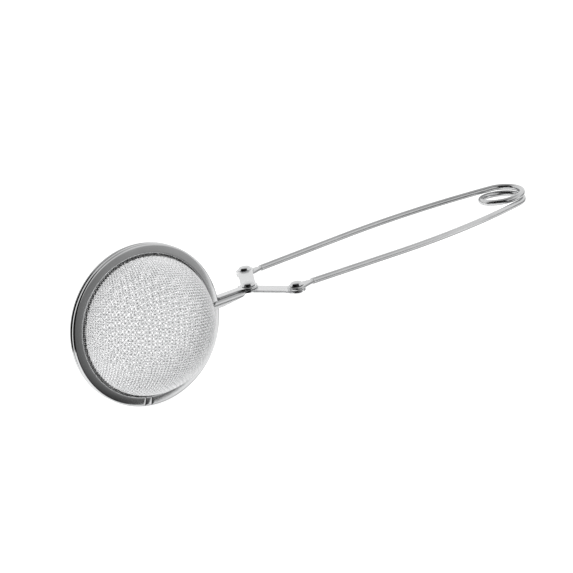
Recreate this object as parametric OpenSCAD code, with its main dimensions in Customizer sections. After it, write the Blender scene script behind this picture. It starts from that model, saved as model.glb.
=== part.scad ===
// Tea strainer with a spring handle: two woven half balls on a pair of riveted bell-crank arms,
// held shut by one bent wire. X runs along the handle towards its coil, Y is the axis of the ball,
// Z is the axis of the rivets. The origin is the middle of the whole object.

/* [Ball] */
// Outside diameter of the rims
rim_d = 50; // [46:1:56]
// Thickness of one rim, from its closing face to its outer face
rim_t = 1.6; // [1.5:0.1:2]
// Width of the flat band of the rim, seen from the front
band_w = 3; // [2.6:0.1:3.2]
// Sheet thickness of the rolled rims
rim_sheet = 0.45; // [0.35:0.05:0.5]
// Depth of one half ball, from the closing plane to the top of its dome
dome_depth = 20.4; // [18:0.2:22]
// Height above the closing plane where the straight wall turns into the dome
wall_h = 4.6; // [3.5:0.1:6]
// Thickness of the woven wire cloth
mesh_t = 0.3; // [0.3:0.05:0.5]

/* [Arms] */
// Distance from the centre of the ball to the central rivet
pivot_reach = 37; // [35:0.5:42]
// How far each handle rivet lies behind the central rivet
fork_back = 8.1; // [7:0.1:10]
// How far each handle rivet lies to the side of the central rivet
fork_side = 15.2; // [13:0.1:17]
// Sheet thickness of the stamped arms
plate_t = 0.7; // [0.6:0.05:0.9]
// Width of the rear limb of an arm
limb_w = 4.6; // [4:0.1:5]
// Diameter of the round eyes of the arms and of the flattened wire ends
eye_d = 5.8; // [5.4:0.1:6.4]
// Depth of the folded lip below the rivet plane
lip_drop = 2.1; // [1.6:0.1:2.6]

/* [Handle] */
// Diameter of the spring wire
wire_d = 2; // [1.8:0.1:2.2]
// Distance from the central rivet to the centre of the coil
coil_reach = 101; // [90:1:120]
// Mean radius of the coil
coil_r = 7; // [6:0.25:8]
// Rise of the coil in one turn
coil_pitch = 2.3; // [2.25:0.05:2.6]
// Angle through which each leg bends in towards the coil
leg_bend = 17; // [15:1:22]
// Thickness of the flattened wire ends
lug_t = 1; // [0.8:0.05:1.1]
// Length from a handle rivet to where the wire is round again
lug_len = 6; // [5.5:0.25:8]

/* [Rivets] */
// Diameter of the rivet shanks
shank_d = 2; // [1.8:0.1:2]
// Diameter of the domed rivet heads
head_d = 4.3; // [4.1:0.1:4.6]
// Height of the domed rivet heads
head_h = 1.1; // [0.8:0.1:1.4]
// Radial play of the far arm on the central rivet
pivot_play = 0.9; // [0.85:0.05:0.95]

/* [Hidden] */
$fn = 96;

gap = 0.1;                                  // between layers that slide on each other
run_play = 0.05;                            // radial play of a handle rivet in its lug
rim_gap = 0.15;                             // half of the gap between the closed rims
rim_r = rim_d / 2;
rim_face = rim_gap + rim_t;                 // height of a rim's outer face
band_in = rim_r - band_w;                   // inner edge of the flat band
wall_r = band_in - 0.6;                     // outside of the woven wall
hem_r = rim_r - 0.8;                        // outer edge of the woven hem inside the rim
hem_t = 2 * mesh_t;                         // the hem is folded double
dome_y = (dome_depth^2 - wall_r^2 - wall_h^2) / (2 * (dome_depth - wall_h));
dome_r = dome_depth - dome_y;               // sphere of the dome, centred at height dome_y

plate_z = gap / 2;                          // the far arm's underside
lug_z = gap / 2 + lug_t / 2;                // middle of a flattened end, above or below the joint
lip_out = rim_face + plate_t;               // outer side of an arm's front limb
lip_in = 1.3;                               // inner side of an arm's front limb
lip_tip = band_in + 0.2;                    // how near to the ball centre the weld tab reaches
lip_end = pivot_reach - eye_d / 2 - 0.5;    // where the folded lip ends, clear of the other eye
head_play = gap;                            // under a head that a moving layer turns against

fork_x = pivot_reach + fork_back;
coil_x = pivot_reach + coil_reach;
middle_x = (coil_x + coil_r + wire_d / 2 - rim_r) / 2;   // middle of the whole length
coil_turn = 540 - 2 * leg_bend;             // degrees of wire in the coil
coil_rise = coil_pitch * coil_turn / 360;
coil_rings = ceil(coil_turn / 8);           // one ring of points every 8 degrees or so
bend_rings = 12;                            // rings of points along the bend of a leg
wire_sides = 12;

leg_end = [coil_x + coil_r * sin(leg_bend), coil_r * cos(leg_bend)];   // where a leg meets the coil
bend_r = (fork_side - leg_end[1]) / (1 - cos(leg_bend));
bend_start = leg_end[0] - bend_r * sin(leg_bend) - fork_x - lug_len;   // straight part of a leg
leg_tilt = atan((coil_rise / 2 + lug_z) / (leg_end[0] - fork_x - lug_len));
end_gap = 0.1;                              // between a leg and the coil's cut face
wedge_end = wire_d / 2 - 0.2;               // half width of the wedge where the round wire starts
wedge_lap = 1.2;                            // length of round wire sunk in the wedge

// Ball

module rim_profile() {
  translate([rim_r - 0.6, rim_gap])
    square([0.6, rim_t]);
  translate([band_in, rim_face - rim_sheet])
    square([band_w - 0.3, rim_sheet]);
  translate([band_in + 0.2, rim_gap])
    square([band_w - 0.5, rim_sheet]);
}

module dome_profile() {
  intersection() {
    difference() {
      translate([0, dome_y])
        circle(r = dome_r);
      translate([0, dome_y])
        circle(r = dome_r - mesh_t);
    }
    translate([0, wall_h])
      square([rim_r, rim_r]);
  }
  translate([wall_r - mesh_t, rim_gap + rim_sheet + 0.05])
    square([mesh_t, wall_h - rim_gap - rim_sheet]);
  translate([wall_r - mesh_t, rim_gap + rim_sheet + 0.05])
    square([hem_r - wall_r + mesh_t, hem_t]);
}

// Stands a profile of revolution on the closing plane; side is 1 for the far half, -1 for the near one
module half(side) {
  translate([-middle_x, 0, 0])
    rotate([-90 * side, 0, 0])
      rotate_extrude()
        children();
}

// Arms

module limb(from, to, width) {
  run = to - from;
  translate(from)
    rotate(atan2(run[1], run[0]))
      translate([0, -width / 2])
        square([norm(run), width]);
}

// Flat of the far arm, in the rivet plane
module arm_outline() {
  pivot = [pivot_reach, 0];
  fork = [fork_x, fork_side];
  translate(pivot)
    circle(d = eye_d);
  translate(fork)
    circle(d = eye_d);
  limb(pivot, fork, limb_w);
  translate([rim_r + 0.2, -lip_in])
    square([pivot_reach - rim_r, lip_in + lip_out]);
}

// Folded lip of the far arm, seen along Y: a weld tab on the rim that runs out under the flat
module lip_outline(top) {
  polygon([[lip_tip, top], [lip_tip, -lip_drop + 0.4], [lip_tip + 0.4, -lip_drop],
           [lip_end - 3, -lip_drop], [lip_end, -0.6], [lip_end, top]]);
}

module arm(flat_z, pivot_hole_d) {
  difference() {
    union() {
      translate([0, 0, flat_z])
        linear_extrude(plate_t)
          arm_outline();
      translate([0, lip_out, 0])
        rotate([90, 0, 0])
          linear_extrude(plate_t)
            lip_outline(flat_z + plate_t);
    }
    translate([pivot_reach, 0, flat_z - 1])
      cylinder(d = pivot_hole_d, h = plate_t + 2);
    translate([fork_x, fork_side, flat_z - 1])
      cylinder(d = shank_d, h = plate_t + 2);
  }
}

// Handle

// Ring of points round a wire at point p, where the wire runs along dir
function wire_ring(p, dir) =
  let (side = cross(dir, [0, 0, 1]) / norm(cross(dir, [0, 0, 1])), up = cross(side, dir))
  [for (k = [0 : wire_sides - 1])
    let (a = 360 * k / wire_sides)
    p + wire_d / 2 * (cos(a) * side + sin(a) * up)];

// Round wire through a list of [point, direction] pairs
module wire(path) {
  last = (len(path) - 1) * wire_sides;
  walls = [for (i = [0 : len(path) - 2]) for (k = [0 : wire_sides - 1])
    let (a = i * wire_sides + k, b = i * wire_sides + (k + 1) % wire_sides)
    [a, b, b + wire_sides, a + wire_sides]];
  caps = [[for (k = [wire_sides - 1 : -1 : 0]) k], [for (k = [0 : wire_sides - 1]) last + k]];
  polyhedron([for (p = path) each wire_ring(p[0], p[1] / norm(p[1]))], concat(walls, caps));
}

// Far leg: flattened eye, wedge, straight wire, then a bend in towards the coil
module leg() {
  difference() {
    translate([fork_x, fork_side, -lug_z - lug_t / 2])
      linear_extrude(lug_t) {
        circle(d = eye_d);
        polygon([[1, eye_d / 2 - 0.3], [lug_len, wedge_end], [lug_len, -wedge_end], [1, 0.3 - eye_d / 2]]);
      }
    translate([fork_x, fork_side, -lug_z - lug_t])
      cylinder(d = shank_d + 2 * run_play, h = 2 * lug_t);
  }
  bend_end = leg_bend - end_gap / bend_r * 180 / PI;
  translate([fork_x + lug_len, fork_side, -lug_z])
    rotate([0, -leg_tilt, 0])
      wire(concat([[[-wedge_lap, 0, 0], [1, 0, 0]]],
                  [for (i = [0 : bend_rings])
                    let (a = bend_end * i / bend_rings)
                    [[bend_start + bend_r * sin(a), bend_r * (cos(a) - 1), 0], [cos(a), -sin(a), 0]]]));
}

// Rivets

// Axis at the origin; the layers run from z = low to z = high
module rivet(low, high) {
  cap_r = (head_d^2 / 4 + head_h^2) / (2 * head_h);
  tail_h = 0.6;
  rotate_extrude() {
    translate([0, low - tail_h])
      square([shank_d / 2, high - low + tail_h + 0.2]);
    translate([0, low - tail_h])
      square([head_d / 2 - 0.3, tail_h]);
    intersection() {
      translate([0, high + head_h - cap_r])
        circle(r = cap_r);
      translate([0, high])
        square([head_d, head_h]);
    }
  }
}

// Named sub-parts

// Helix from the end of the far leg down to the end of the near leg
module coil() {
  color("silver")
    translate([coil_x - middle_x, 0, 0])
      wire([for (i = [0 : coil_rings])
        let (turn = coil_turn * i / coil_rings, a = 90 - leg_bend - turn)
        [[coil_r * cos(a), coil_r * sin(a), coil_rise / 2 - coil_pitch * turn / 360],
         [sin(a), -cos(a), -coil_pitch / (2 * PI * coil_r)]]]);
}

module near_leg() {
  color("silver")
    translate([-middle_x, 0, 0])
      rotate([180, 0, 0])
        leg();
}

module far_leg() {
  color("silver")
    translate([-middle_x, 0, 0])
      leg();
}

module near_arm() {
  color("lightgray")
    translate([-middle_x, 0, 0])
      mirror([0, 1, 0])
        arm(-plate_z - plate_t, shank_d);
}

module far_arm() {
  color("lightgray")
    translate([-middle_x, 0, 0])
      arm(plate_z, shank_d + 2 * pivot_play);
}

module near_rim() {
  color("gainsboro")
    half(-1)
      rim_profile();
}

module far_rim() {
  color("gainsboro")
    half(1)
      rim_profile();
}

module near_mesh() {
  color("darkgray")
    half(-1)
      dome_profile();
}

module far_mesh() {
  color("darkgray")
    half(1)
      dome_profile();
}

module central_rivet() {
  color("white")
    translate([pivot_reach - middle_x, 0, 0])
      rivet(-plate_z - plate_t, plate_z + plate_t + head_play);
}

module near_rivet() {
  color("white")
    translate([fork_x - middle_x, -fork_side, 0])
      rivet(-plate_z - plate_t, lug_z + lug_t / 2 + head_play);
}

module far_rivet() {
  color("white")
    translate([fork_x - middle_x, fork_side, 0])
      rivet(-lug_z - lug_t / 2 - head_play, plate_z + plate_t);
}

coil();
near_leg();
far_leg();
near_arm();
far_arm();
near_rim();
far_rim();
near_mesh();
far_mesh();
central_rivet();
near_rivet();
far_rivet();
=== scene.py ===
import math

import bmesh
import bpy
import numpy as np
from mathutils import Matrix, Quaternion, Vector


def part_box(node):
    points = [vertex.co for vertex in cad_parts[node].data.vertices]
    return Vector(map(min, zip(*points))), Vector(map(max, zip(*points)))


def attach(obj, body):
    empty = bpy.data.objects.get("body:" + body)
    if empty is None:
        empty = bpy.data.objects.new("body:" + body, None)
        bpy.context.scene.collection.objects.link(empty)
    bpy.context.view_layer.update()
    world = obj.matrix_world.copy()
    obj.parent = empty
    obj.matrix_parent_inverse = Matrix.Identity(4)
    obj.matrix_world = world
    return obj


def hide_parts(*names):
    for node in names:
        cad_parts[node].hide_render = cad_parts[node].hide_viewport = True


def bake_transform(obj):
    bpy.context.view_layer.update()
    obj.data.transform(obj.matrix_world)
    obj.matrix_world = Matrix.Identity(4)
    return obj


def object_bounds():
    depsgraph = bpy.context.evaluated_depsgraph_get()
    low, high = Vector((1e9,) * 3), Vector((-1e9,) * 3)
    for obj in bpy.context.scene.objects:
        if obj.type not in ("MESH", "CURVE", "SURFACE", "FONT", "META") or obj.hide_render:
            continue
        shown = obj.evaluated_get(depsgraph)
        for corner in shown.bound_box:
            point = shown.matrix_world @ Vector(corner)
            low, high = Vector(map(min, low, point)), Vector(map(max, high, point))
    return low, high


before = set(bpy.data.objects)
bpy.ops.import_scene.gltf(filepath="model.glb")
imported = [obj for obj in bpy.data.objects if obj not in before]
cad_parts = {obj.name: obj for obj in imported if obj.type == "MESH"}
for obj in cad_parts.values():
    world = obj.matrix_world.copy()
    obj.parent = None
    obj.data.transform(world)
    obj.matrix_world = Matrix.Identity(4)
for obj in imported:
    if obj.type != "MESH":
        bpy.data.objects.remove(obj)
cadLow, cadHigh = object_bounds()  # the CAD model's own box
mm = 0.001


def corners(node):  # lowest and highest corner of a CAD node, in millimetres
    low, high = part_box(node)
    return low / mm, high / mm


def middle(node):
    low, high = corners(node)
    return (low + high) / 2


rimLow, rimHigh = corners("near_rim")
ball = middle("near_rim") * Vector((1, 0, 0))  # centre of the ball, on the closing plane
rimRadius = (rimHigh.z - rimLow.z) / 2
rimBack = -rimHigh.y  # height of a rim's back over the closing plane
domeDepth = -corners("near_mesh")[0].y
centralPin = middle("central_rivet")
nearPin = middle("near_rivet")
farPin = middle("far_rivet")
coilLow, coilHigh = corners("coil")
coilOuter = (coilHigh.y - coilLow.y) / 2
coilCentre = Vector((coilHigh.x - coilOuter, 0, 0))
print("frame read: ball at", round(ball.x, 1), "coil at", round(coilCentre.x, 1))


class Value:  # a shader output that can be used in expressions; each operation adds a Math node
    def __init__(self, shader, socket):
        self.shader = shader
        self.socket = socket

    def combine(self, operation, first, second):
        return self.shader.node("Math", {"operation": operation}, {0: first, 1: second})

    def __add__(self, other):
        return self.combine("ADD", self, other)

    __radd__ = __add__

    def __sub__(self, other):
        return self.combine("SUBTRACT", self, other)

    def __rsub__(self, other):
        return self.combine("SUBTRACT", other, self)

    def __mul__(self, other):
        return self.combine("MULTIPLY", self, other)

    __rmul__ = __mul__

    def __truediv__(self, other):
        return self.combine("DIVIDE", self, other)

    def __rtruediv__(self, other):
        return self.combine("DIVIDE", other, self)

    def __pow__(self, other):
        return self.combine("POWER", self, other)

    def __rpow__(self, other):
        return self.combine("POWER", other, self)


class Shader:  # one node tree, of a material or of the world
    def __init__(self, owner):
        owner.use_nodes = True
        self.tree = owner.node_tree
        self.tree.nodes.clear()

    def node(self, kind, settings=None, inputs=None, output=0):
        made = self.tree.nodes.new("ShaderNode" + kind)
        for key, value in (settings or {}).items():
            if key == "stops":
                self.setStops(made.color_ramp, value)
            else:
                setattr(made, key, value)
        for key, value in (inputs or {}).items():
            if isinstance(value, Value):
                self.tree.links.new(value.socket, made.inputs[key])
            else:
                made.inputs[key].default_value = value
        return Value(self, made.outputs[output]) if made.outputs else None

    def setStops(self, ramp, stops):
        while len(ramp.elements) < len(stops):
            ramp.elements.new(1.0)
        for element, (place, shade) in zip(ramp.elements, stops):
            element.position = place
            element.color = (shade, shade, shade, 1)

    def mixColour(self, factor, first, second):
        return self.node("Mix", {"data_type": "RGBA"}, {0: factor, 6: first, 7: second}, 2)

    def scaled(self, vector, amounts):
        return self.node("VectorMath", {"operation": "MULTIPLY"}, {0: vector, 1: amounts})

    def noise(self, vector, scale, detail=2.0, rough=0.5):
        inputs = {"Vector": vector, "Scale": scale, "Detail": detail, "Roughness": rough}
        return self.node("TexNoise", None, inputs)

    def spread(self, value, low, high):  # noise centred on a half, stretched to low..high
        return self.node("MapRange", None, {"Value": value, 1: 0.3, 2: 0.7, 3: low, 4: high})


def steel(name, look, grain):
    # grain(shader, place) gives the fine marks in the surface, as a height from 0 to 1
    material = bpy.data.materials.new(name)
    shader = Shader(material)
    place = shader.node("TexCoord", None, None, "Object")
    light = (*look["light"], 1)
    dark = (*look["dark"], 1)
    cloud = shader.noise(place, look["cloudScale"], 3.0)
    marks = grain(shader, place)
    colour = shader.mixColour(shader.spread(cloud, 0.0, 1.0), dark, light)
    colour = shader.mixColour(marks * look["markTone"], colour, dark)
    rough = shader.spread(cloud, *look["roughness"]) + marks * look["markRough"]
    depth = look["bumpDepth"] * mm
    bump = shader.node("Bump", None, {"Strength": look["bump"], "Distance": depth, "Height": marks})
    # painted shade in hollows, and the dark of weld marks, read from each vertex and mixed into the
    # colour
    grime = shader.node("Attribute", {"attribute_name": "grime"}, None, "Fac")
    colour = shader.mixColour(grime, colour, (*paintedShadeAndWeldColour, 1))
    surface = shader.node("BsdfPrincipled", None, {
        "Base Color": colour, "Metallic": look["metal"], "Roughness": rough, "Normal": bump})
    shader.node("OutputMaterial", None, {"Surface": surface})
    return material


paintedShadeAndWeldColour = (0.02, 0.02, 0.02)  # painted shade in the rims' channel and on the cloth inside it, and the dark of the rims' weld marks: the colour where a piece's attribute is 1

rimLook = {
    "light": (0.76, 0.765, 0.77),
    "dark": (0.68, 0.685, 0.69),
    "cloudScale": 90.0,  # of the patches between light and dark
    "metal": 1.0,
    "roughness": (0.07, 0.13),
    "markTone": 0.25,  # how much the fine marks darken, roughen and dent the surface
    "markRough": 0.05,
    "bump": 0.25,
    "bumpDepth": 0.02,
    "marks": (160.0, 4.0, 0.6),  # scale, detail and roughness of the noise
    "closeness": 60.0,  # of the polishing lines, across them
    "drift": 0.8,  # how fast they change along their length
}


def ringMarks(shader, place):  # polishing lines that run round the rim
    fromBall = shader.node("VectorMath", {"operation": "SUBTRACT"}, {0: place, 1: tuple(ball * mm)})
    flat = shader.scaled(fromBall, (1, 0, 1))
    radius = shader.node("VectorMath", {"operation": "LENGTH"}, {0: flat}, "Value")
    across = radius * rimLook["closeness"]
    along = shader.node("CombineXYZ", None, {0: across, 1: 0.0, 2: 0.0})
    drift = shader.scaled(fromBall, (rimLook["drift"],) * 3)
    where = shader.node("VectorMath", {"operation": "ADD"}, {0: along, 1: drift})
    return shader.noise(where, *rimLook["marks"])


clothLook = {
    "light": (0.97, 0.97, 0.975),
    "dark": (0.89, 0.895, 0.90),
    "cloudScale": 400.0,
    "metal": 0.62,
    "roughness": (0.28, 0.38),
    "markTone": 0.3,
    "markRough": 0.08,
    "bump": 0.3,
    "bumpDepth": 0.01,
    "marks": (9000.0, 2.0, 0.6),
}


def clothMarks(shader, place):
    return shader.noise(place, *clothLook["marks"])


armLook = {
    "light": (0.80, 0.805, 0.81),
    "dark": (0.75, 0.755, 0.76),
    "cloudScale": 160.0,
    "metal": 1.0,
    "roughness": (0.13, 0.20),
    "markTone": 0.2,
    "markRough": 0.07,
    "bump": 0.25,
    "bumpDepth": 0.015,
    "marks": (3600.0, 4.0, 0.65),
    "stretch": (0.06, 1, 1),
}


def sheetMarks(shader, place):  # rolling grain of stamped sheet, along the handle
    return shader.noise(shader.scaled(place, armLook["stretch"]), *armLook["marks"])


wireLook = {
    "light": (0.74, 0.745, 0.75),
    "dark": (0.64, 0.645, 0.65),
    "cloudScale": 120.0,
    "metal": 1.0,
    "roughness": (0.16, 0.24),
    "markTone": 0.45,
    "markRough": 0.06,
    "bump": 0.3,
    "bumpDepth": 0.02,
    "marks": (3400.0, 2.0, 0.5),
    "stretch": (0.008, 1, 1),
}


def drawMarks(shader, place):  # lines left along the wire by drawing it through a die
    run = shader.node("Attribute", {"attribute_name": "wireRun"}, None, "Vector")
    return shader.noise(shader.scaled(run, wireLook["stretch"]), *wireLook["marks"])


rivetLook = {
    "light": (0.76, 0.765, 0.77),
    "dark": (0.67, 0.675, 0.68),
    "cloudScale": 250.0,
    "metal": 1.0,
    "roughness": (0.05, 0.09),
    "markTone": 0.25,
    "markRough": 0.05,
    "bump": 0.2,
    "bumpDepth": 0.015,
    "marks": (2600.0, 3.0, 0.6),
}


def pressMarks(shader, place):  # faint pressing marks
    return shader.noise(place, *rivetLook["marks"])


rimSteel = steel("rimSteel", rimLook, ringMarks)
clothSteel = steel("clothSteel", clothLook, clothMarks)
armSteel = steel("armSteel", armLook, sheetMarks)
wireSteel = steel("wireSteel", wireLook, drawMarks)
rivetSteel = steel("rivetSteel", rivetLook, pressMarks)
print("materials made")


def addPiece(name, mesh, material, sharp=None):
    # every face is smooth, and edges bent by more than sharp degrees stay crisp
    mesh.polygons.foreach_set("use_smooth", [True] * len(mesh.polygons))
    piece = bpy.data.objects.new(name, mesh)
    bpy.context.scene.collection.objects.link(piece)
    mesh.materials.append(material)
    fixNormals(mesh, sharp)
    return piece


def makePiece(name, points, faces, material, sharp=None):  # points in millimetres
    mesh = bpy.data.meshes.new(name)
    mesh.from_pydata([tuple(p) for p in np.asarray(points, float) * mm], [], faces)
    mesh.validate()
    return addPiece(name, mesh, material, sharp)


def addPaintedShadeAndWeld(piece, amounts):  # painted shade, and on the rims the dark of the weld marks: one amount from 0 to 1 for each vertex
    layer = piece.data.attributes.new("grime", "FLOAT", "POINT")
    layer.data.foreach_set("value", np.array(amounts, np.float32))


def fixNormals(mesh, sharp):
    work = bmesh.new()
    work.from_mesh(mesh)
    bmesh.ops.recalc_face_normals(work, faces=work.faces)
    if sharp is not None:
        for edge in work.edges:
            edge.smooth = len(edge.link_faces) != 2 or edge.calc_face_angle(0) < math.radians(sharp)
    work.to_mesh(mesh)
    work.free()


def bridge(rings, sides, first=0, closed=False):  # faces between rings of points, from the point first on
    faces = []
    for i in range(rings if closed else rings - 1):
        for k in range(sides):
            a = first + i * sides + k
            b = first + i * sides + (k + 1) % sides
            c = first + (i + 1) % rings * sides + (k + 1) % sides
            d = first + (i + 1) % rings * sides + k
            faces.append((a, b, c, d))
    return faces


def arc(centre, radius, fromDeg, toDeg, steps):
    angles = np.radians(np.linspace(fromDeg, toDeg, steps + 1))
    return [(centre[0] + radius * math.cos(a), centre[1] + radius * math.sin(a)) for a in angles]


def unit(vectors):
    return vectors / np.maximum(np.linalg.norm(vectors, axis=-1, keepdims=True), 1e-12)


# rims: sheet rolled into a channel that holds the hem of the cloth
rimSizes = {
    "sheet": 0.3,
    "beadRadius": 0.54,  # of the middle of the sheet, along the axis of the ball
    "beadReach": 0.42,  # the same, away from the axis
    "bandTilts": (4.0, 10.0),  # slope of the band at its inner and outer edge
    "bandWidth": 2.17,
    "lipRadius": 0.3,
    "lipDrop": 0.35,
    "flange": (1.0, 1.9),  # how far the back flange runs in from the middle of the bead
    "beadSteps": 16,
    "bandSteps": 8,
    "lipSteps": 6,
    "segments": 288,
    "seam": 258.0,  # place of the butted ends, in degrees round from the handle
    "seamHalf": 2.6,  # half the distance between the two weld marks at the seam, in degrees
    "seamMark": 0.9,  # half the width of a weld mark, in degrees
    "seamDepth": 0.5,  # share of the sheet lost in a weld mark
    "seamGrime": 0.5,
    "paintedShadeReach": 22.05,  # inside this radius, and below the band, the channel is painted dark as shade
    "paintedShadeHeight": 0.35,
    "crease": 40,  # edges bent by more degrees than this stay crisp
}


def rimMidline(sizes):
    # middle of the sheet from the inner lip round to the back flange,
    # as radius and height above the closing plane
    half = sizes["sheet"] / 2
    bead = sizes["beadRadius"]
    tiltIn, tiltOut = sizes["bandTilts"]
    reach = sizes["beadReach"]
    centre = (rimRadius - half - reach, rimBack + half + bead)
    circle = arc(centre, bead, 90 - tiltOut, -90, sizes["beadSteps"])
    edge = [(centre[0] + (r - centre[0]) * reach / bead, h) for r, h in circle]
    band = []
    steps = sizes["bandSteps"]
    stride = sizes["bandWidth"] / steps
    r, h = edge[0]
    for i in range(steps):
        tilt = math.radians(tiltOut + (tiltIn - tiltOut) * (i + 0.5) / steps)
        r -= stride * math.cos(tilt)
        h += stride * math.sin(tilt)
        band.append((r, h))
    lip = sizes["lipRadius"]
    turn = (r - lip * math.sin(math.radians(tiltIn)), h - lip * math.cos(math.radians(tiltIn)))
    corner = arc(turn, lip, 90 - tiltIn, 180, sizes["lipSteps"])[1:]
    tip = [(corner[-1][0], corner[-1][1] - sizes["lipDrop"])]
    flange = [(centre[0] - run, edge[-1][1]) for run in sizes["flange"]]
    return np.array(list(reversed(band + corner + tip)) + edge + flange)


def thicken(line, half):  # closed outline of a sheet that follows an open line
    along = unit(np.gradient(line, axis=0))
    across = np.stack([-along[:, 1], along[:, 0]], 1)
    outer = line + across * half
    inner = line - across * half
    startCap = [line[0] - along[0] * half]
    endCap = [line[-1] + along[-1] * half]
    return np.vstack([outer, endCap, inner[::-1], startCap])


def rimStations(sizes):
    # places round the rim, in degrees, with how deep a weld mark is there
    seam, wide, mark = sizes["seam"], sizes["seamHalf"], sizes["seamMark"]
    turns = np.linspace(0, 360, sizes["segments"], endpoint=False)
    stations = [(a, 0.0) for a in turns if abs(a - seam) > wide + mark]
    for centre in (seam - wide, seam + wide):
        for share in np.linspace(-1, 1, 9):
            stations.append((centre + share * mark, math.cos(share * math.pi / 2) ** 2))
    stations.append((seam, 0.0))
    return sorted(stations, key=lambda station: station[0])


def buildRim(name, side, body, node):
    sizes = rimSizes
    half = sizes["sheet"] / 2
    midline = rimMidline(sizes)
    whole = thicken(midline, half)
    groove = thicken(midline, half * (1 - sizes["seamDepth"]))
    stations = rimStations(sizes)
    points, grime = [], []
    paintedShadeTop = midline[:, 1].max() - sizes["paintedShadeHeight"]
    inner = range(len(midline) + 1, 2 * len(midline) + 1)  # the sheet's side towards the channel
    for degrees, dip in stations:
        a = math.radians(degrees)
        outline = whole + (groove - whole) * dip
        for k, (r, h) in enumerate(outline):
            points.append((ball.x + r * math.cos(a), side * h, r * math.sin(a)))
            # painted shade: the channel and the sheet's side towards it are fully dark; at the seam, the
            # weld marks' own dark
            hidden = r < sizes["paintedShadeReach"] and h < paintedShadeTop
            grime.append(1.0 if hidden or k in inner else sizes["seamGrime"] * dip)
    faces = bridge(len(stations), len(whole), 0, True)
    piece = makePiece(name, points, faces, rimSteel, sizes["crease"])
    addPaintedShadeAndWeld(piece, grime)
    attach(piece, body)
    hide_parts(node)


# cloth: plain weave of round wire, drawn into a half ball with a straight wall
clothSizes = {
    "wire": 0.42,
    "pitches": (1.0, 0.91),  # between the wires that stand up, and between those that lie across
    "turn": -14.0,  # of the weave, about the axis of the ball
    "farTurn": 38.0,  # how much further the far cloth is turned
    "wallRadius": 20.95,
    "wallTop": 2.7,
    "wallFoot": 0.95,
    "hemBend": 0.35,  # radius of the bend from the wall into the hem
    "hem": 1.3,
    "shortest": 2.0,  # a wire shorter than this from its middle is left out
    "sides": 5,
    "paintedShadeTop": 1.75,  # height under which the wall is painted dark as shade, inside the rim
    "paintedShadeFade": (0.3, 0.2),  # over which it fades out, upwards and downwards
    "paintedShadeAmounts": (0.95, 0.45),  # of painted shade, on the wall and on the hem
}


def meridian(s, sizes):
    # middle surface of the cloth at arc length s from the top of the dome: radius, height,
    # outward normal, and the arc length where the hem ends
    wall = sizes["wallRadius"]
    top = sizes["wallTop"]
    turn = sizes["hemBend"]
    depth = domeDepth - sizes["wire"]
    low = (depth ** 2 - wall ** 2 - top ** 2) / (2 * (depth - top))  # height of the dome's centre
    radius = depth - low
    domeEnd = radius * math.atan2(wall, top - low)
    wallEnd = domeEnd + top - sizes["wallFoot"]
    a = np.minimum(s, domeEnd) / radius
    r = radius * np.sin(a)
    h = low + radius * np.cos(a) - np.clip(s - domeEnd, 0, wallEnd - domeEnd)
    nr = np.where(s < domeEnd, np.sin(a), 1.0)
    nh = np.where(s < domeEnd, np.cos(a), 0.0)
    b = np.clip((s - wallEnd) / turn, 0, math.pi / 2)
    beyond = np.maximum(s - wallEnd - turn * math.pi / 2, 0)
    r = r + turn * (1 - np.cos(b)) + beyond
    h = h - turn * np.sin(b)
    nr = np.where(s > wallEnd, np.cos(b), nr)
    nh = np.where(s > wallEnd, np.sin(b), nh)
    return r, h, nr, nh, wallEnd + sizes["hem"]


def clothPath(fixed, run, offset, across, turn, side, sizes):
    # one wire at a fixed place in the flat cloth, wrapped onto the half ball
    u, v = (run, np.full_like(run, fixed)) if across else (np.full_like(run, fixed), run)
    s = np.hypot(u, v)
    a = np.arctan2(v, u) + math.radians(turn)
    r, h, nr, nh, _ = meridian(s, sizes)
    normal = np.stack([nr * np.cos(a), side * nh, nr * np.sin(a)], 1)
    place = np.stack([r * np.cos(a), side * h, r * np.sin(a)], 1)
    return place + normal * offset[:, None] + np.array(ball), normal


def clothWire(j, across, reach, turn, side, sizes):
    # the j-th wire one way, as points along its middle and the cloth's normals there;
    # it has a point at each crossing, over or under it, and one between
    gap, step = sizes["pitches"][::-1] if across else sizes["pitches"]
    fixed = (j + 0.5) * gap
    span = reach ** 2 - fixed ** 2
    if span < sizes["shortest"] ** 2:
        return None
    last = int(math.sqrt(span) * 2 / step)
    m = np.arange(-last, last + 1)
    over = np.where(((m - 1) // 2 + j) % 2 == 0, 1.0, -1.0)
    over = np.where(m % 2 == 1, over, 0.0)
    over = -over if across else over
    return clothPath(fixed, m * step / 2, over * sizes["wire"] / 2, across, turn, side, sizes)


def wireTube(place, normal, radius, sides):
    along = unit(np.gradient(place, axis=0))
    up = unit(normal - along * np.sum(normal * along, 1)[:, None])
    beside = np.cross(along, up)
    angles = 2 * math.pi * np.arange(sides) / sides
    ring = up[:, None, :] * np.cos(angles)[None, :, None]
    ring = ring + beside[:, None, :] * np.sin(angles)[None, :, None]
    return (place[:, None, :] + ring * radius).reshape(-1, 3)


def clothPaintedShade(height, sizes):
    # painted shade on the cloth's wall and hem where they sit inside the rim
    fade, foot = sizes["paintedShadeFade"]
    wallAmount, hemAmount = sizes["paintedShadeAmounts"]
    wall = np.clip((sizes["paintedShadeTop"] - height) / fade, 0, 1)
    wall = wall * np.clip((height - sizes["wallFoot"] + foot) / foot, 0, 1)
    hem = np.clip((sizes["wallFoot"] - height) / foot, 0, 1)
    return wallAmount * wall + hemAmount * hem


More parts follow.
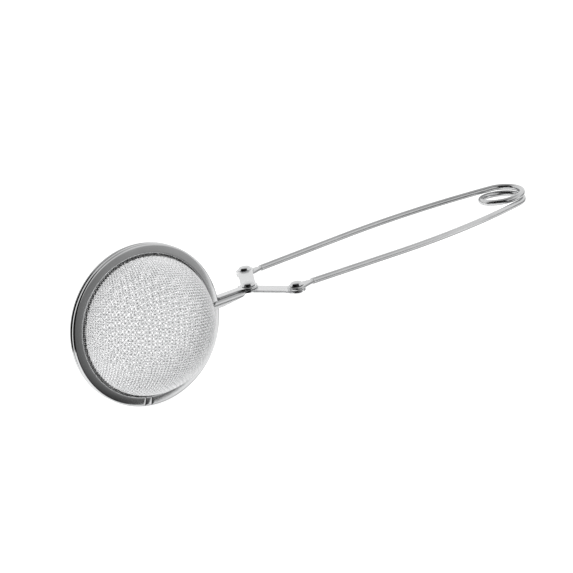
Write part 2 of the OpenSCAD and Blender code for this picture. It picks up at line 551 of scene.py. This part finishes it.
def buildCloth(name, side, turn, body, node):
    sizes = clothSizes
    sides = sizes["sides"]
    reach = meridian(np.zeros(1), sizes)[4]
    points, faces, heights = [], [], []
    count = 0
    for across in (False, True):
        lines = int(reach / sizes["pitches"][across])
        for j in range(-lines, lines):
            wire = clothWire(j, across, reach, turn, side, sizes)
            if wire is None:
                continue
            place, normal = wire
            rings = len(place)
            points.append(wireTube(place, normal, sizes["wire"] / 2, sides))
            heights.append(np.repeat(np.abs(place[:, 1]), sides))
            faces += bridge(rings, sides, count)
            faces.append(tuple(range(count, count + sides)))
            faces.append(tuple(range(count + (rings - 1) * sides, count + rings * sides)))
            count += rings * sides
    piece = makePiece(name, np.vstack(points), faces, clothSteel)
    addPaintedShadeAndWeld(piece, clothPaintedShade(np.concatenate(heights), sizes))
    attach(piece, body)
    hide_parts(node)
    print(name, len(piece.data.polygons), "faces")


buildRim("nearRim", -1, "near_half", "near_rim")
buildRim("farRim", 1, "far_half", "far_rim")
print("rims made")
buildCloth("nearCloth", -1, clothSizes["turn"], "near_half", "near_mesh")
buildCloth("farCloth", 1, clothSizes["turn"] + clothSizes["farTurn"], "far_half", "far_mesh")
print("cloth made")


# arms: stamped sheet with a folded lip that is welded to the rim
armSizes = {
    "sheet": 0.7,
    "eye": 2.9,  # radius
    "eyeFillet": 0.5,
    "forkEye": 2.7,
    "forkFillet": 1.2,
    "limb": 4.7,
    "fillet": 2.4,
    "pinHole": 1.0,  # radius
    "looseHole": 1.9,  # of the far arm, round the central rivet
    "inner": 1.3,  # far side of the front limb from the middle
    "outer": 2.45,  # outer face of the folded lip from the middle
    "foldInside": 0.35,
    "foldTurn": 101.0,
    "foldSteps": 8,
    "foldReach": 0.8,  # the fold stops this far behind the lip's end, before the central eye
    "lipBottom": -2.1,
    "tabReach": 22.2,  # of the weld tab from the centre of the ball
    "tabBevel": 0.4,
    "tabOverlap": 0.1,
    "flatReach": 25.2,
    "lipEnd": 33.6,
    "lipRoot": 0.6,  # how far the lip's outline runs back under the limb
    "limbOverlap": 0.2,
    "lipSwell": (0.5, 0.4),  # of the lip's end, at the bend and below it
    "lipNose": (2.5, 0.9),  # length and height of the slope at the lip's lower corner
    "lipFillet": 0.35,
    "edge": 0.09,  # radius of the sheet's edges
    "edgeSteps": 4,
    "capInset": 0.08,
    "grid": 0.12,
    "spacing": 0.2,
    "holeSides": 40,
}


def smoothUnion(a, b, blend):
    share = np.clip(0.5 + 0.5 * (b - a) / blend, 0, 1)
    return b + (a - b) * share - blend * share * (1 - share)


def bar(x, y, start, end, halfWidth):  # distance to a straight bar with square ends
    run = np.array(end) - np.array(start)
    length = math.hypot(*run)
    along = ((x - start[0]) * run[0] + (y - start[1]) * run[1]) / length
    across = np.abs((y - start[1]) * run[0] - (x - start[0]) * run[1]) / length
    dx = np.abs(along - length / 2) - length / 2
    dy = across - halfWidth
    outside = np.hypot(np.maximum(dx, 0), np.maximum(dy, 0))
    return outside + np.minimum(np.maximum(dx, dy), 0)


def convex(x, y, corner):  # distance to a convex polygon whose corners run anticlockwise
    worst = np.full_like(x, -1e9)
    for (ax, ay), (bx, by) in zip(corner, corner[1:] + corner[:1]):
        size = math.hypot(bx - ax, by - ay)
        worst = np.maximum(worst, ((x - ax) * (by - ay) - (y - ay) * (bx - ax)) / size)
    return worst


def contour(distance, low, high, grid):
    # traces the longest closed line where distance(x, y) is zero
    xs = np.arange(low[0], high[0] + grid, grid)
    ys = np.arange(low[1], high[1] + grid, grid)
    field = distance(*np.meshgrid(xs, ys, indexing="ij"))
    inside = field < 0
    places, links = {}, {}

    def crossing(i, j, k, l):  # where the line crosses between two points of the grid
        share = field[i, j] / (field[i, j] - field[k, l])
        return (xs[i] + (xs[k] - xs[i]) * share, ys[j] + (ys[l] - ys[j]) * share)

    mixed = inside[:-1, :-1].astype(int) + inside[1:, :-1] + inside[:-1, 1:] + inside[1:, 1:]
    for i, j in zip(*np.nonzero((mixed > 0) & (mixed < 4))):
        loop = [(i, j), (i + 1, j), (i + 1, j + 1), (i, j + 1)]
        found = []
        for p, q in zip(loop, loop[1:] + loop[:1]):
            if inside[p] != inside[q]:
                key = (min(p, q), max(p, q))
                places[key] = crossing(*key[0], *key[1])
                found.append(key)
        for k in range(0, len(found) - 1, 2):
            links.setdefault(found[k], []).append(found[k + 1])
            links.setdefault(found[k + 1], []).append(found[k])
    best = []
    unseen = set(links)
    while unseen:
        here = min(unseen)
        line = []
        while here is not None:
            unseen.discard(here)
            line.append(places[here])
            here = next((n for n in links[here] if n in unseen), None)
        best = max(best, line, key=len)
    line = np.array(best)
    area = np.sum(line[:, 0] * np.roll(line[:, 1], -1) - np.roll(line[:, 0], -1) * line[:, 1])
    return line if area > 0 else line[::-1]


def evenly(line, spacing):  # a closed line with points at even distances, anticlockwise as given
    closed = np.vstack([line, line[:1]])
    length = np.concatenate([[0], np.cumsum(np.hypot(*np.diff(closed, axis=0).T))])
    at = np.linspace(0, length[-1], int(length[-1] / spacing), endpoint=False)
    return np.stack([np.interp(at, length, closed[:, 0]), np.interp(at, length, closed[:, 1])], 1)


def plateMesh(loops, low, high, sizes):
    # a flat plate with rounded edges; the first loop is its outline, and the holes run clockwise
    edge = sizes["edge"]
    capInset = edge + sizes["capInset"]
    quarter = np.linspace(0, math.pi / 2, sizes["edgeSteps"])
    profile = [(capInset, low)]
    profile += [(edge - edge * math.sin(a), low + edge - edge * math.cos(a)) for a in quarter]
    profile += [(edge - edge * math.cos(a), high - edge + edge * math.sin(a)) for a in quarter]
    profile += [(capInset, high)]
    work = bmesh.new()
    capLoops = ([], [])
    for loop in loops:
        along = unit(np.roll(loop, -1, 0) - np.roll(loop, 1, 0))
        inward = np.stack([-along[:, 1], along[:, 0]], 1)
        rings = []
        for inset, z in profile:
            flat = loop + inward * inset
            rings.append([work.verts.new((x, y, z)) for x, y in flat])
        for lower, upper in zip(rings, rings[1:]):
            for k in range(len(loop)):
                n = (k + 1) % len(loop)
                work.faces.new((lower[k], lower[n], upper[n], upper[k]))
        for capLoop, ring in zip(capLoops, (rings[0], rings[-1])):
            capLoop += [work.edges.get(pair) for pair in zip(ring, ring[1:] + ring[:1])]
    for capLoop in capLoops:
        bmesh.ops.triangle_fill(work, use_beauty=True, edges=capLoop)
    return work


def foldDown(y, z, start, inside, sheet, top, swing):
    # bends the sheet past y = start down through the angle swing, about a line under its top face
    neutral = inside + sheet / 2
    angle = min((y - start) / neutral, swing)
    beyond = max(y - start - neutral * swing, 0)
    radius = inside + sheet - (top - z)
    centre = top - inside - sheet
    return (start + radius * math.sin(angle) + beyond * math.cos(swing),
            centre + radius * math.cos(angle) - beyond * math.sin(swing))


def armBlank(x, y, fork, bend, arcLength, flatEdge):
    # distance to the outline of an arm as it is cut from flat sheet, before its lip is folded
    sizes = armSizes
    eye = np.hypot(x - centralPin.x, y) - sizes["eye"]
    rear = bar(x, y, (centralPin.x, 0.0), fork, sizes["limb"] / 2)
    flat = smoothUnion(eye, rear, sizes["eyeFillet"])
    forkEye = np.hypot(x - fork[0], y - fork[1]) - sizes["forkEye"]
    flat = smoothUnion(flat, forkEye, sizes["forkFillet"])
    tab, front, end = (ball.x + sizes[k] for k in ("tabReach", "flatReach", "lipEnd"))
    outer = bend + sizes["limbOverlap"]
    middleY = (outer - sizes["inner"]) / 2
    limb = bar(x, y, (front, middleY), (centralPin.x, middleY), (outer + sizes["inner"]) / 2)
    flat = smoothUnion(flat, limb, sizes["fillet"])
    root = bend - sizes["lipRoot"]
    lipTop = bend + arcLength
    bevel = sizes["tabBevel"]
    swell, lowSwell = sizes["lipSwell"]
    noseLength, noseHeight = sizes["lipNose"]
    lip = convex(x, y, [
        (tab, lipTop + sizes["tabOverlap"]), (front, root), (end, root), (end + swell, bend),
        (end + lowSwell, lipTop), (end - lowSwell, flatEdge - noseHeight), (end - noseLength, flatEdge),
        (tab + bevel, flatEdge), (tab, flatEdge - bevel)])
    return smoothUnion(flat, lip, sizes["lipFillet"])


def buildArm(name, side, pin, holeRadius, body, node):
    # made as the far arm; the near one is the same turned over and one sheet lower, with a lower lip
    sizes = armSizes
    sheet = sizes["sheet"]
    top = corners("far_arm")[1].z
    low = top - sheet
    bend = sizes["outer"] - sheet - sizes["foldInside"]
    swing = math.radians(sizes["foldTurn"])
    arcLength = (sizes["foldInside"] + sheet / 2) * swing
    drop = 0.0 if side > 0 else 2 * low + sheet
    lipDepth = top - sheet - sizes["foldInside"] - sizes["lipBottom"] - drop
    flatEdge = bend + arcLength + lipDepth
    pivot = (centralPin.x, 0.0)
    fork = (pin.x, abs(pin.y))
    room = sizes["eye"] + 1
    start = (ball.x + sizes["tabReach"] - 1, -room)
    stop = (fork[0] + room, fork[1] + room)

    def blank(x, y):
        return armBlank(x, y, fork, bend, arcLength, flatEdge)

    outline = evenly(contour(blank, start, stop, sizes["grid"]), sizes["spacing"])
    hole = np.array(arc((0, 0), 1, 360, 0, sizes["holeSides"])[:-1])
    holes = [hole * holeRadius + np.array(pivot), hole * sizes["pinHole"] + np.array(fork)]
    work = plateMesh([outline, *holes], low, top, sizes)
    for k in range(sizes["foldSteps"] + 1):  # cuts across the fold, so that it can bend
        cut = bend + arcLength * k / sizes["foldSteps"]
        geometry = work.verts[:] + work.edges[:] + work.faces[:]
        bmesh.ops.bisect_plane(work, geom=geometry, plane_co=(0, cut, 0), plane_no=(0, 1, 0))
    foldEnd = ball.x + sizes["lipEnd"] + sizes["foldReach"]
    for vertex in work.verts:
        x, y, z = vertex.co
        if y > bend and x < foldEnd:
            y, z = foldDown(y, z, bend, sizes["foldInside"], sheet, top, swing)
        if side < 0:
            y, z = -y, z - drop
        vertex.co = (x * mm, y * mm, z * mm)
    mesh = bpy.data.meshes.new(name)
    work.to_mesh(mesh)
    work.free()
    piece = addPiece(name, mesh, armSteel)
    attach(piece, body)
    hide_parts(node)


buildArm("farArm", 1, farPin, armSizes["looseHole"], "far_half", "far_arm")
buildArm("nearArm", -1, nearPin, armSizes["pinHole"], "near_half", "near_arm")
print("arms made")


# rivets: a crowned head, a shank and a rolled tail
rivetSizes = {
    "head": 2.15,
    "headHeight": 1.1,
    "side": 0.55,  # height of the head's steep side
    "draft": 0.34,  # how much the side leans in
    "shoulder": 0.3,  # radius between the side and the crown
    "shoulderTurn": (24, 58),  # where the shoulder's arc runs, in degrees from upright
    "crownEnd": 14,  # where the crown meets it
    "crownPower": 2.2,
    "brim": (0.1, 0.08),  # height and inset of the head's lower edge
    "shank": 0.99,
    "tail": 1.85,
    "tailHeight": 0.6,
    "tailBevel": 0.1,
    "tailRound": ((0.08, 0.2), (0.35, 0.03), (0.7, 0.0)),  # inset and height of its lower edge
    "segments": 64,
    "crease": 50,
}


def rivetProfile(low, high, sizes):  # radius and height, from the top of the head down
    head, shoulder = sizes["head"], sizes["shoulder"]
    tail, shank = sizes["tail"], sizes["shank"]
    brim, brimInset = sizes["brim"]
    bevel = sizes["tailBevel"]
    headLow = high - sizes["headHeight"]
    tailHigh = low + sizes["tailHeight"]
    turn = (head - sizes["draft"] - shoulder, headLow + sizes["side"])
    crownEnd = math.radians(sizes["crownEnd"])
    flat = turn[0] + shoulder * math.sin(crownEnd)
    fall = high - (turn[1] + shoulder * math.cos(crownEnd))
    profile = [(0.0, high)]
    for share in np.linspace(0.1, 1, 10):  # slightly crowned top
        profile.append((flat * share, high - fall * share ** sizes["crownPower"]))
    for a in np.radians(np.linspace(*sizes["shoulderTurn"], 6)):
        profile.append((turn[0] + shoulder * math.sin(a), turn[1] + shoulder * math.cos(a)))
    profile += [(head, headLow + brim), (head - brimInset, headLow)]
    profile += [(shank, headLow), (shank, tailHigh)]
    profile += [(tail - bevel, tailHigh), (tail, tailHigh - bevel)]
    profile += [(tail - inset, low + height) for inset, height in sizes["tailRound"]]
    return profile + [(0.0, low)]


def buildRivet(name, node, body):
    sizes = rivetSizes
    low, high = corners(node)
    where = middle(node)
    profile = rivetProfile(low.z, high.z, sizes)
    segments = sizes["segments"]
    points = [(where.x, where.y, profile[0][1])]
    for r, z in profile[1:-1]:
        for s in range(segments):
            a = 2 * math.pi * s / segments
            points.append((where.x + r * math.cos(a), where.y + r * math.sin(a), z))
    points.append((where.x, where.y, profile[-1][1]))
    faces = bridge(len(profile) - 2, segments, 1)
    last = len(points) - 1
    for s in range(segments):
        n = (s + 1) % segments
        faces.append((0, 1 + s, 1 + n))
        faces.append((last, last - segments + n, last - segments + s))
    piece = makePiece(name, points, faces, rivetSteel, sizes["crease"])
    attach(piece, body)
    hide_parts(node)


buildRivet("centralRivet", "central_rivet", "near_half")
buildRivet("nearRivet", "near_rivet", "near_half")
buildRivet("farRivet", "far_rivet", "far_half")
print("rivets made")


# handle: one wire, as two halves that meet at the coil
handleSizes = {
    "wire": 1.0,  # radius
    "bend": 17.0,  # degrees that a leg turns through
    "rise": 1.615,  # of the coil's end above its middle
    "lugHeight": 0.55,  # of the middle of the flattened end
    "lugHalf": 0.5,  # half its thickness
    "lugSquare": 7.0,  # squareness of its section; 2 is round
    "eye": 2.9,
    "taper": 0.6,  # from the rivet to where the flat begins to narrow
    "shoulder": 5.7,  # from the rivet to where the wire is round
    "neck": 0.9,  # half width of the flat just before it
    "step": (0.2, 0.4),  # where the thickness changes: start before the shoulder, and length
    "collar": 0.06,  # ridge raised by the press there
    "collarLength": 0.8,
    "coilSteps": 84,
    "bendSteps": 24,
    "blendReach": 6.0,  # length of the coil that flexes in the real tongs when the legs are squeezed
    "sides": 28,
    "crease": 50,
}


def wireSection(x, sizes):
    # half width, half thickness and squareness of the wire at a distance from the rivet
    wire, eye, shoulder = sizes["wire"], sizes["eye"], sizes["shoulder"]
    taper = sizes["taper"]
    if x < taper:
        width = math.sqrt(max(eye ** 2 - x ** 2, 0.0))
    else:
        edge = math.sqrt(eye ** 2 - taper ** 2)
        share = min((x - taper) / (shoulder - taper), 1.0)
        width = edge + (sizes["neck"] - edge) * share
    before, length = sizes["step"]
    step = min(max((x - shoulder + before) / length, 0.0), 1.0)
    step = step * step * (3 - 2 * step)
    ridge = sizes["collar"] * step * max(0.0, 1 - (x - shoulder) / sizes["collarLength"])
    thick = sizes["lugHalf"] + (wire - sizes["lugHalf"]) * step + ridge
    width = width + (wire - width) * step + ridge
    square = sizes["lugSquare"] + (2.0 - sizes["lugSquare"]) * step
    return width, thick, square


def handlePath(sizes):
    # centreline of the far half, from the flattened end to the far side of the coil, with the
    # wire's section at each point
    wire, shoulder = sizes["wire"], sizes["shoulder"]
    coil = coilOuter - wire
    bend = math.radians(sizes["bend"])
    startX = farPin.x
    sideY = farPin.y
    legEnd = (coilCentre.x + coil * math.sin(bend), coil * math.cos(bend))
    sweep = (sideY - legEnd[1]) / (1 - math.cos(bend))
    bendX = legEnd[0] - sweep * math.sin(bend)
    rows = []

    def height(x):
        share = max(0.0, (x - startX - shoulder) / (legEnd[0] - startX - shoulder))
        return -sizes["lugHeight"] + (sizes["rise"] + sizes["lugHeight"]) * share

    def addRound(x, y, z):
        rows.append((x, y, z, wire, wire, 2.0))

    nose = -sizes["eye"] * np.cos(np.radians(np.linspace(2, 80, 14)))
    blade = np.linspace(0, shoulder + 1.0, 60)
    for x in np.concatenate([nose, blade]):
        rows.append((startX + x, sideY, height(startX + x), *wireSection(x, sizes)))
    for x in np.linspace(startX + shoulder + 2.0, bendX, 30)[:-1]:
        addRound(x, sideY, height(x))
    for a in np.linspace(0, bend, sizes["bendSteps"])[:-1]:
        x = bendX + sweep * math.sin(a)
        addRound(x, sideY - sweep * (1 - math.cos(a)), height(x))
    turn = 270 - sizes["bend"]
    steps = sizes["coilSteps"]
    for i in range(steps + 1):
        a = math.radians(90 - sizes["bend"] - turn * i / steps)
        z = sizes["rise"] * (1 - i / steps)
        addRound(coilCentre.x + coil * math.cos(a), coil * math.sin(a), z)
    return np.array(rows)


def buildWire(name, side, nodes):
    sizes = handleSizes
    sides = sizes["sides"]
    rows = handlePath(sizes)
    place = rows[:, :3]
    along = unit(np.gradient(place, axis=0))
    across = unit(np.cross(np.array([0, 0, 1.0]), along))
    up = np.cross(along, across)
    run = np.concatenate([[0], np.cumsum(np.linalg.norm(np.diff(place, axis=0), axis=1))])
    points, marks = [], []
    for i, row in enumerate(rows):
        width, thick, square = row[3:]
        power = 2 / square
        for k in range(sides):
            a = 2 * math.pi * k / sides
            c, s = math.cos(a), math.sin(a)
            x = math.copysign(abs(c) ** power, c) * width
            z = math.copysign(abs(s) ** power, s) * thick
            point = place[i] + across[i] * x + up[i] * z
            points.append((point[0], side * point[1], side * point[2]))
            marks.append((run[i] * mm, x * mm, z * mm))
    faces = bridge(len(rows), sides)
    faces.append(tuple(range(sides)))
    faces.append(tuple(range((len(rows) - 1) * sides, len(rows) * sides)))
    piece = makePiece(name, points, faces, wireSteel, sizes["crease"])
    attribute = piece.data.attributes.new("wireRun", "FLOAT_VECTOR", "POINT")
    attribute.data.foreach_set("vector", np.array(marks, np.float32).ravel())
    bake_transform(piece)
    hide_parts(*nodes)


buildWire("farWire", 1, ["far_leg"])
buildWire("nearWire", -1, ["near_leg", "coil"])
print("handle made")


cameraSetup = {
    "azimuth": -30.09,
    "elevation": 17.73,
    "roll": 9.94,
    "distance": 0.63,
    "aim": (-0.0084, 0.0030, -0.0050),  # from the middle of the whole object
    "lens": 125.65,
}
studio = {
    "sky": 0.97,
    "horizon": (-1.0, 8.0),  # elevations between which the lower half of the room fades into the upper
    "wall": (-10.0, 8.0, 57.0),  # azimuth, elevation and radius, in degrees, of the dark side of the room
    "wallEdge": 1.5,
    "beyond": 1.1,  # shade of the lower half outside the dark side
    "acrossAngles": (-50, 50),  # azimuths between which the dark side changes shade
    "across": [
        (0.0, 0.005), (0.35, 0.01), (0.43, 0.15), (0.58, 0.18), (0.72, 0.32), (0.85, 0.42), (1.0, 0.5)],
    "belowAngles": (-45, -5),  # elevations between which it fades downwards
    "below": [(0.0, 0.12), (0.3, 0.2), (0.6, 0.8), (1.0, 1.0)],
    "ceiling": (40.0, 56.0, 0.92, 0.5),  # the upper half's shade changes between these elevations
    # patches of the room: shade, then the soft edges to the left, right, bottom and top
    "lowPatches": [
        (0.6, ((20, 36), (200, 190)), ((-95, -90), (-34, -46))),
        (0.36, ((54, 62), (115, 100)), ((-30, -22), (20, 10))),
        (0.008, ((-125, -112), (-8, -18)), ((-21, -17), (20, 10))),
    ],
    "highPatches": [
        (0.82, ((-30, -8), (70, 56)), ((-20, -10), (44, 37))),
        (0.008, ((-125, -112), (-8, -22)), ((-20, -10), (72, 62))),
        (0.03, ((-30, -20), (32, 18)), ((37, 42), (64, 57))),
    ],
}


def direction(azimuth, elevation):
    a, e = math.radians(azimuth), math.radians(elevation)
    return Vector((math.sin(a) * math.cos(e), -math.cos(a) * math.cos(e), math.sin(e)))


def placeCamera(setup):
    data = bpy.data.cameras.new("camera")
    data.lens = setup["lens"]
    data.clip_start = 0.01
    data.clip_end = 20
    camera = bpy.data.objects.new("camera", data)
    back = direction(setup["azimuth"], setup["elevation"])
    camera.location = (cadLow + cadHigh) / 2 + Vector(setup["aim"]) + back * setup["distance"]
    camera.rotation_mode = "QUATERNION"
    roll = Quaternion((0, 0, 1), math.radians(-setup["roll"]))
    camera.rotation_quaternion = (-back).to_track_quat("-Z", "Y") @ roll
    bpy.context.scene.collection.objects.link(camera)
    bpy.context.scene.camera = camera


def makeWorld(setup):
    world = bpy.data.worlds.new("studio")
    bpy.context.scene.world = world
    shader = Shader(world)
    look = shader.node("TexCoord", None, None, "Generated")
    parts = [shader.node("SeparateXYZ", None, {0: look}, k) for k in range(3)]
    front = 0 - parts[1]
    azimuth = shader.node("Math", {"operation": "ARCTAN2"}, {0: parts[0], 1: front}) * (180 / math.pi)
    elevation = shader.node("Math", {"operation": "ARCSINE"}, {0: parts[2]}) * (180 / math.pi)

    def step(value, first, last):  # rises from 0 to 1 between two angles
        inputs = {"Value": value, 1: first, 2: last}
        return shader.node("MapRange", {"interpolation_type": "SMOOTHSTEP"}, inputs)

    def inside(azimuths, elevations):  # 1 in a patch of the room, each pair of angles being one soft edge
        west, east, low, top = *azimuths, *elevations
        return step(azimuth, *west) * step(azimuth, *east) * step(elevation, *low) * step(elevation, *top)

    def paint(room, where, shade):
        return shader.mixColour(where, room, (shade, shade, shade, 1))

    def ramp(stops, value, angles):
        first, last = angles
        return shader.node("ValToRGB", {"stops": stops}, {"Fac": (value - first) / (last - first)})

    sideways, upwards, radius = setup["wall"]
    away = ((azimuth - sideways) ** 2.0 + (elevation - upwards) ** 2.0) ** 0.5
    outside = step(away, radius - setup["wallEdge"], radius + setup["wallEdge"])
    across = ramp(setup["across"], azimuth, setup["acrossAngles"])
    below = ramp(setup["below"], elevation, setup["belowAngles"])
    multiply = {"data_type": "RGBA", "blend_type": "MULTIPLY"}
    dark = shader.node("Mix", multiply, {0: 1.0, 6: across, 7: below}, 2)
    lower = paint(dark, outside, setup["beyond"])
    for shade, azimuths, elevations in setup["lowPatches"]:
        lower = paint(lower, inside(azimuths, elevations), shade)
    low, high, lowShade, highShade = setup["ceiling"]
    upper = paint((lowShade, lowShade, lowShade, 1), step(elevation, low, high), highShade)
    for shade, azimuths, elevations in setup["highPatches"]:
        upper = paint(upper, inside(azimuths, elevations), shade)
    room = shader.mixColour(step(elevation, *setup["horizon"]), lower, upper)
    seen = shader.node("LightPath", None, None, "Is Camera Ray")
    colour = shader.mixColour(seen, room, (1, 1, 1, 1))
    background = shader.node("Background", None, {"Color": colour, "Strength": setup["sky"]})
    shader.node("OutputWorld", None, {"Surface": background})


floorSetup = {
    "half": 6.0,  # metres
    "gap": 0.0005,  # under the object
    "tone": 0.35,
    "rough": 0.9,
    "glow": 0.88,
}


def makeFloor(setup):
    half = setup["half"]
    z = cadLow.z - setup["gap"]
    places = [(-half, -half, z), (half, -half, z), (half, half, z), (-half, half, z)]
    mesh = bpy.data.meshes.new("floor")
    mesh.from_pydata(places, [], [(0, 1, 2, 3)])
    floor = bpy.data.objects.new("floor", mesh)
    bpy.context.scene.collection.objects.link(floor)
    material = bpy.data.materials.new("floorPaper")
    shader = Shader(material)
    surface = shader.node("BsdfPrincipled", None, {
        "Base Color": (setup["tone"],) * 3 + (1,), "Roughness": setup["rough"], "Specular IOR Level": 0.0,
        "Emission Color": (1, 1, 1, 1), "Emission Strength": setup["glow"]})
    shader.node("OutputMaterial", None, {"Surface": surface})
    mesh.materials.append(material)
    floor.visible_glossy = False


softboxes = {
    "distance": 1.0,
    "size": 0.6,
    "lights": {"keyLight": (-60, 40, 14.0), "topLight": (140, 60, 2.5)},  # azimuth, elevation, power
}


def softbox(name, azimuth, elevation, power, setup):
    data = bpy.data.lights.new(name, "AREA")
    data.shape = "DISK"
    data.size = setup["size"]
    data.energy = power
    light = bpy.data.objects.new(name, data)
    back = direction(azimuth, elevation)
    light.location = ball * mm + back * setup["distance"]
    light.rotation_mode = "QUATERNION"
    light.rotation_quaternion = (-back).to_track_quat("-Z", "Y")
    light.visible_glossy = False
    bpy.context.scene.collection.objects.link(light)


placeCamera(cameraSetup)
makeWorld(studio)
makeFloor(floorSetup)
for name, (azimuth, elevation, power) in softboxes["lights"].items():
    softbox(name, azimuth, elevation, power, softboxes)
bpy.context.scene.view_settings.view_transform = "Standard"
print("studio made")
